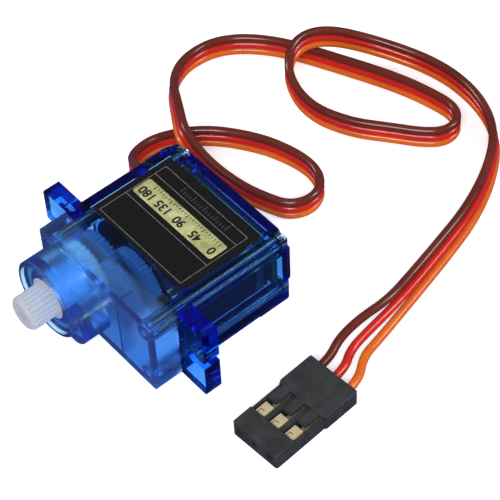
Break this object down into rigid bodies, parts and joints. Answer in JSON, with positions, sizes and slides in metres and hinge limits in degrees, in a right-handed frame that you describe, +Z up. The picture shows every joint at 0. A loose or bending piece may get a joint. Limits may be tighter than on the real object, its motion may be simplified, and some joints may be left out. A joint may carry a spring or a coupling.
{
  "type": "hobby servo motor",
  "caption": "Micro hobby servo in a clear case with gear train, mounting ears, splined output and a ribbon lead ending in a socket.",
  "frame": {"origin": "centre of the servo's own bounding box, without the lead, on the face it lies on", "axes": "+X along the case from the output end to the motor end, -Y out of the output spline, +Z up through the thickness"},
  "size_m": [0.0606, 0.0728, 0.0119],
  "materials": {
    "blue_clear": "clear blue plastic, polished",
    "label_black": "glossy black printed film",
    "nylon_white": "natural white nylon, satin",
    "steel": "bright steel",
    "brass": "turned brass",
    "bronze": "sintered bronze",
    "magnet_grey": "dark ferrite",
    "copper": "enamelled copper wire",
    "tinned": "tinned metal",
    "black_plastic": "black moulded plastic, satin",
    "pcb_green": "green solder mask",
    "chip_black": "black moulded package",
    "carbon": "printed carbon track",
    "phenolic": "brown phenolic board",
    "wire_brown": "soft glossy vinyl",
    "wire_red": "soft glossy vinyl",
    "wire_orange": "soft glossy vinyl",
    "gold": "gold-plated spring bronze"
  },
  "bodies": {
    "case": {"bottom_cover": "blue_clear", "middle_case": "blue_clear", "top_cover": "blue_clear", "label": "label_black", "case_screws": "steel", "idler_pin": "steel", "motor_can": "steel", "motor_end_cap": "black_plastic", "motor_bushes": "bronze", "motor_magnets": "magnet_grey", "motor_terminals": "tinned", "motor_brushes": "copper", "pot_housing": "steel", "pot_board": "phenolic", "pot_track": "carbon", "pot_leads": "tinned", "circuit_board": "pcb_green", "control_chip": "chip_black", "board_parts": "phenolic", "wire_brown": "wire_brown", "wire_red": "wire_red", "wire_orange": "wire_orange", "wire_tails": "tinned", "connector_housing": "black_plastic", "connector_contacts": "gold"},
    "output": {"output_gear": "nylon_white", "pot_shaft": "steel", "pot_wiper": "brass"},
    "third_stage": {"third_gear": "nylon_white"},
    "second_stage": {"second_gear": "nylon_white"},
    "first_stage": {"first_gear": "nylon_white"},
    "rotor": {"motor_pinion": "brass", "motor_shaft": "steel", "armature_core": "steel", "armature_coils": "copper", "commutator": "copper"}
  },
  "joints": [
    {"name": "motor_spin", "type": "hinge", "parent": "case", "child": "rotor", "pos_m": [0.0053, -0.0054, 0.00595], "axis": [0, -1, 0], "range_deg": [-10691.9, 10691.9]},
    {"name": "output_spin", "type": "hinge", "parent": "case", "child": "output", "pos_m": [-0.0056, -0.0054, 0.00595], "axis": [0, -1, 0], "range_deg": [-90, 90]},
    {"name": "third_spin", "type": "hinge", "parent": "case", "child": "third_stage", "pos_m": [-0.0001, -0.0054, 0.00595], "axis": [0, -1, 0], "range_deg": [-270, 270]},
    {"name": "second_spin", "type": "hinge", "parent": "case", "child": "second_stage", "pos_m": [-0.0056, -0.0054, 0.00595], "axis": [0, -1, 0], "range_deg": [-810, 810]},
    {"name": "first_spin", "type": "hinge", "parent": "case", "child": "first_stage", "pos_m": [-0.0001, -0.0054, 0.00595], "axis": [0, -1, 0], "range_deg": [-2430, 2430]}
  ],
  "couplings": [
    {"joint": "output_spin", "follows": "motor_spin", "ratio": 0.0084175},
    {"joint": "third_spin", "follows": "motor_spin", "ratio": -0.025253},
    {"joint": "second_spin", "follows": "motor_spin", "ratio": 0.075758},
    {"joint": "first_spin", "follows": "motor_spin", "ratio": -0.22727}
  ]
}
